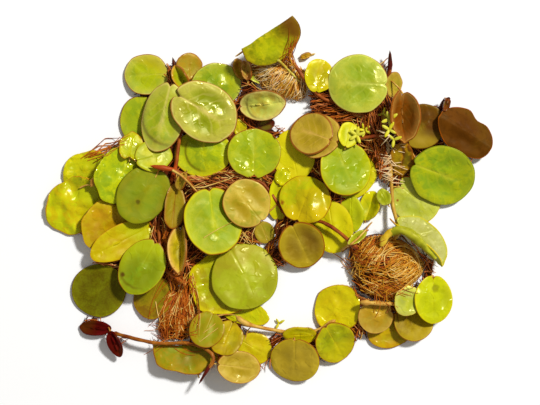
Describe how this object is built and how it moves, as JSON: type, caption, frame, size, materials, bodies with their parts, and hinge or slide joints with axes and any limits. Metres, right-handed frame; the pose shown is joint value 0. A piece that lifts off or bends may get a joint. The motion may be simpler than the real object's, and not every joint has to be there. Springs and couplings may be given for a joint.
{
  "type": "red root floater mat",
  "caption": "Tangled mat of a floating aquarium plant: round notched leaves in a low overlapping pile on thin runners, with tufts and a ball of fine roots; lies flat",
  "frame": {"origin": "middle of the mat's box, at the level of the surface that it lies on", "axes": "+X along the mat's longer side, to the right in the picture; +Y up in the picture; +Z up, towards the camera"},
  "size_m": [0.1112, 0.0912, 0.0089],
  "materials": {
    "leaf_green": "wet mid-green leaf, soft gloss, faint pale veins",
    "leaf_lime": "wet yellow-green leaf, soft gloss, slightly see-through",
    "leaf_gold": "wet golden-yellow leaf, glossy and wavy",
    "leaf_olive": "dull olive leaf",
    "leaf_tan": "tan-olive leaf with a red-brown rim",
    "leaf_brown": "dark red-brown ageing leaf",
    "leaf_crimson": "dark crimson leaf",
    "runner_tan": "tan to pale yellow runner",
    "runner_red": "dark red runner with a furled bud",
    "root_gold": "golden-brown matted fine roots",
    "root_red": "red-brown matted fine roots"
  },
  "bodies": {
    "root": {"leaf_bottom_1": "leaf_lime", "leaf_bottom_2": "leaf_lime", "leaf_bottom_3": "leaf_green", "leaf_bottom_4": "leaf_tan", "leaf_bottom_left_1": "leaf_olive", "leaf_bottom_left_2": "leaf_olive", "leaf_bottom_left_3": "leaf_tan", "leaf_centre_1": "leaf_lime", "leaf_centre_2": "leaf_lime", "leaf_centre_3": "leaf_lime", "leaf_centre_4": "leaf_tan", "leaf_centre_5": "leaf_lime", "leaf_centre_6": "leaf_olive", "leaf_centre_7": "leaf_green", "leaf_centre_8": "leaf_tan", "leaf_far_left_1": "leaf_lime", "leaf_far_left_2": "leaf_gold", "leaf_far_left_3": "leaf_gold", "leaf_far_left_4": "leaf_gold", "leaf_far_left_5": "leaf_lime", "leaf_left_1": "leaf_green", "leaf_left_2": "leaf_lime", "leaf_low_left_1": "leaf_olive", "leaf_low_left_2": "leaf_green", "leaf_low_right_1": "leaf_gold", "leaf_low_right_2": "leaf_olive", "leaf_low_right_3": "leaf_tan", "leaf_low_right_4": "leaf_lime", "leaf_middle_low_1": "leaf_lime", "leaf_middle_low_2": "leaf_green", "leaf_middle_low_3": "leaf_gold", "leaf_right_1": "leaf_lime", "leaf_right_2": "leaf_olive", "leaf_right_3": "leaf_brown", "leaf_right_4": "leaf_brown", "leaf_right_5": "leaf_green", "leaf_right_6": "leaf_olive", "leaf_top_1": "leaf_green", "leaf_top_2": "leaf_olive", "leaf_top_3": "leaf_green", "leaf_top_left_1": "leaf_green", "leaf_top_left_2": "leaf_lime", "leaf_top_left_3": "leaf_lime", "leaf_top_left_4": "leaf_lime", "leaf_top_left_5": "leaf_green", "leaf_top_left_6": "leaf_green", "red_leaf_1": "leaf_crimson", "red_leaf_2": "leaf_crimson", "root_ball_right": "root_gold", "root_tuft_left": "root_gold", "root_tuft_top": "root_red", "runner_bottom": "runner_tan", "runner_far_left": "runner_tan", "runner_left": "runner_red", "runner_low_left": "runner_tan", "runner_low_right": "runner_tan", "runner_middle": "runner_red", "runner_right": "runner_tan", "runner_top": "runner_red", "runner_upper_right": "runner_red"}
  },
  "joints": []
}
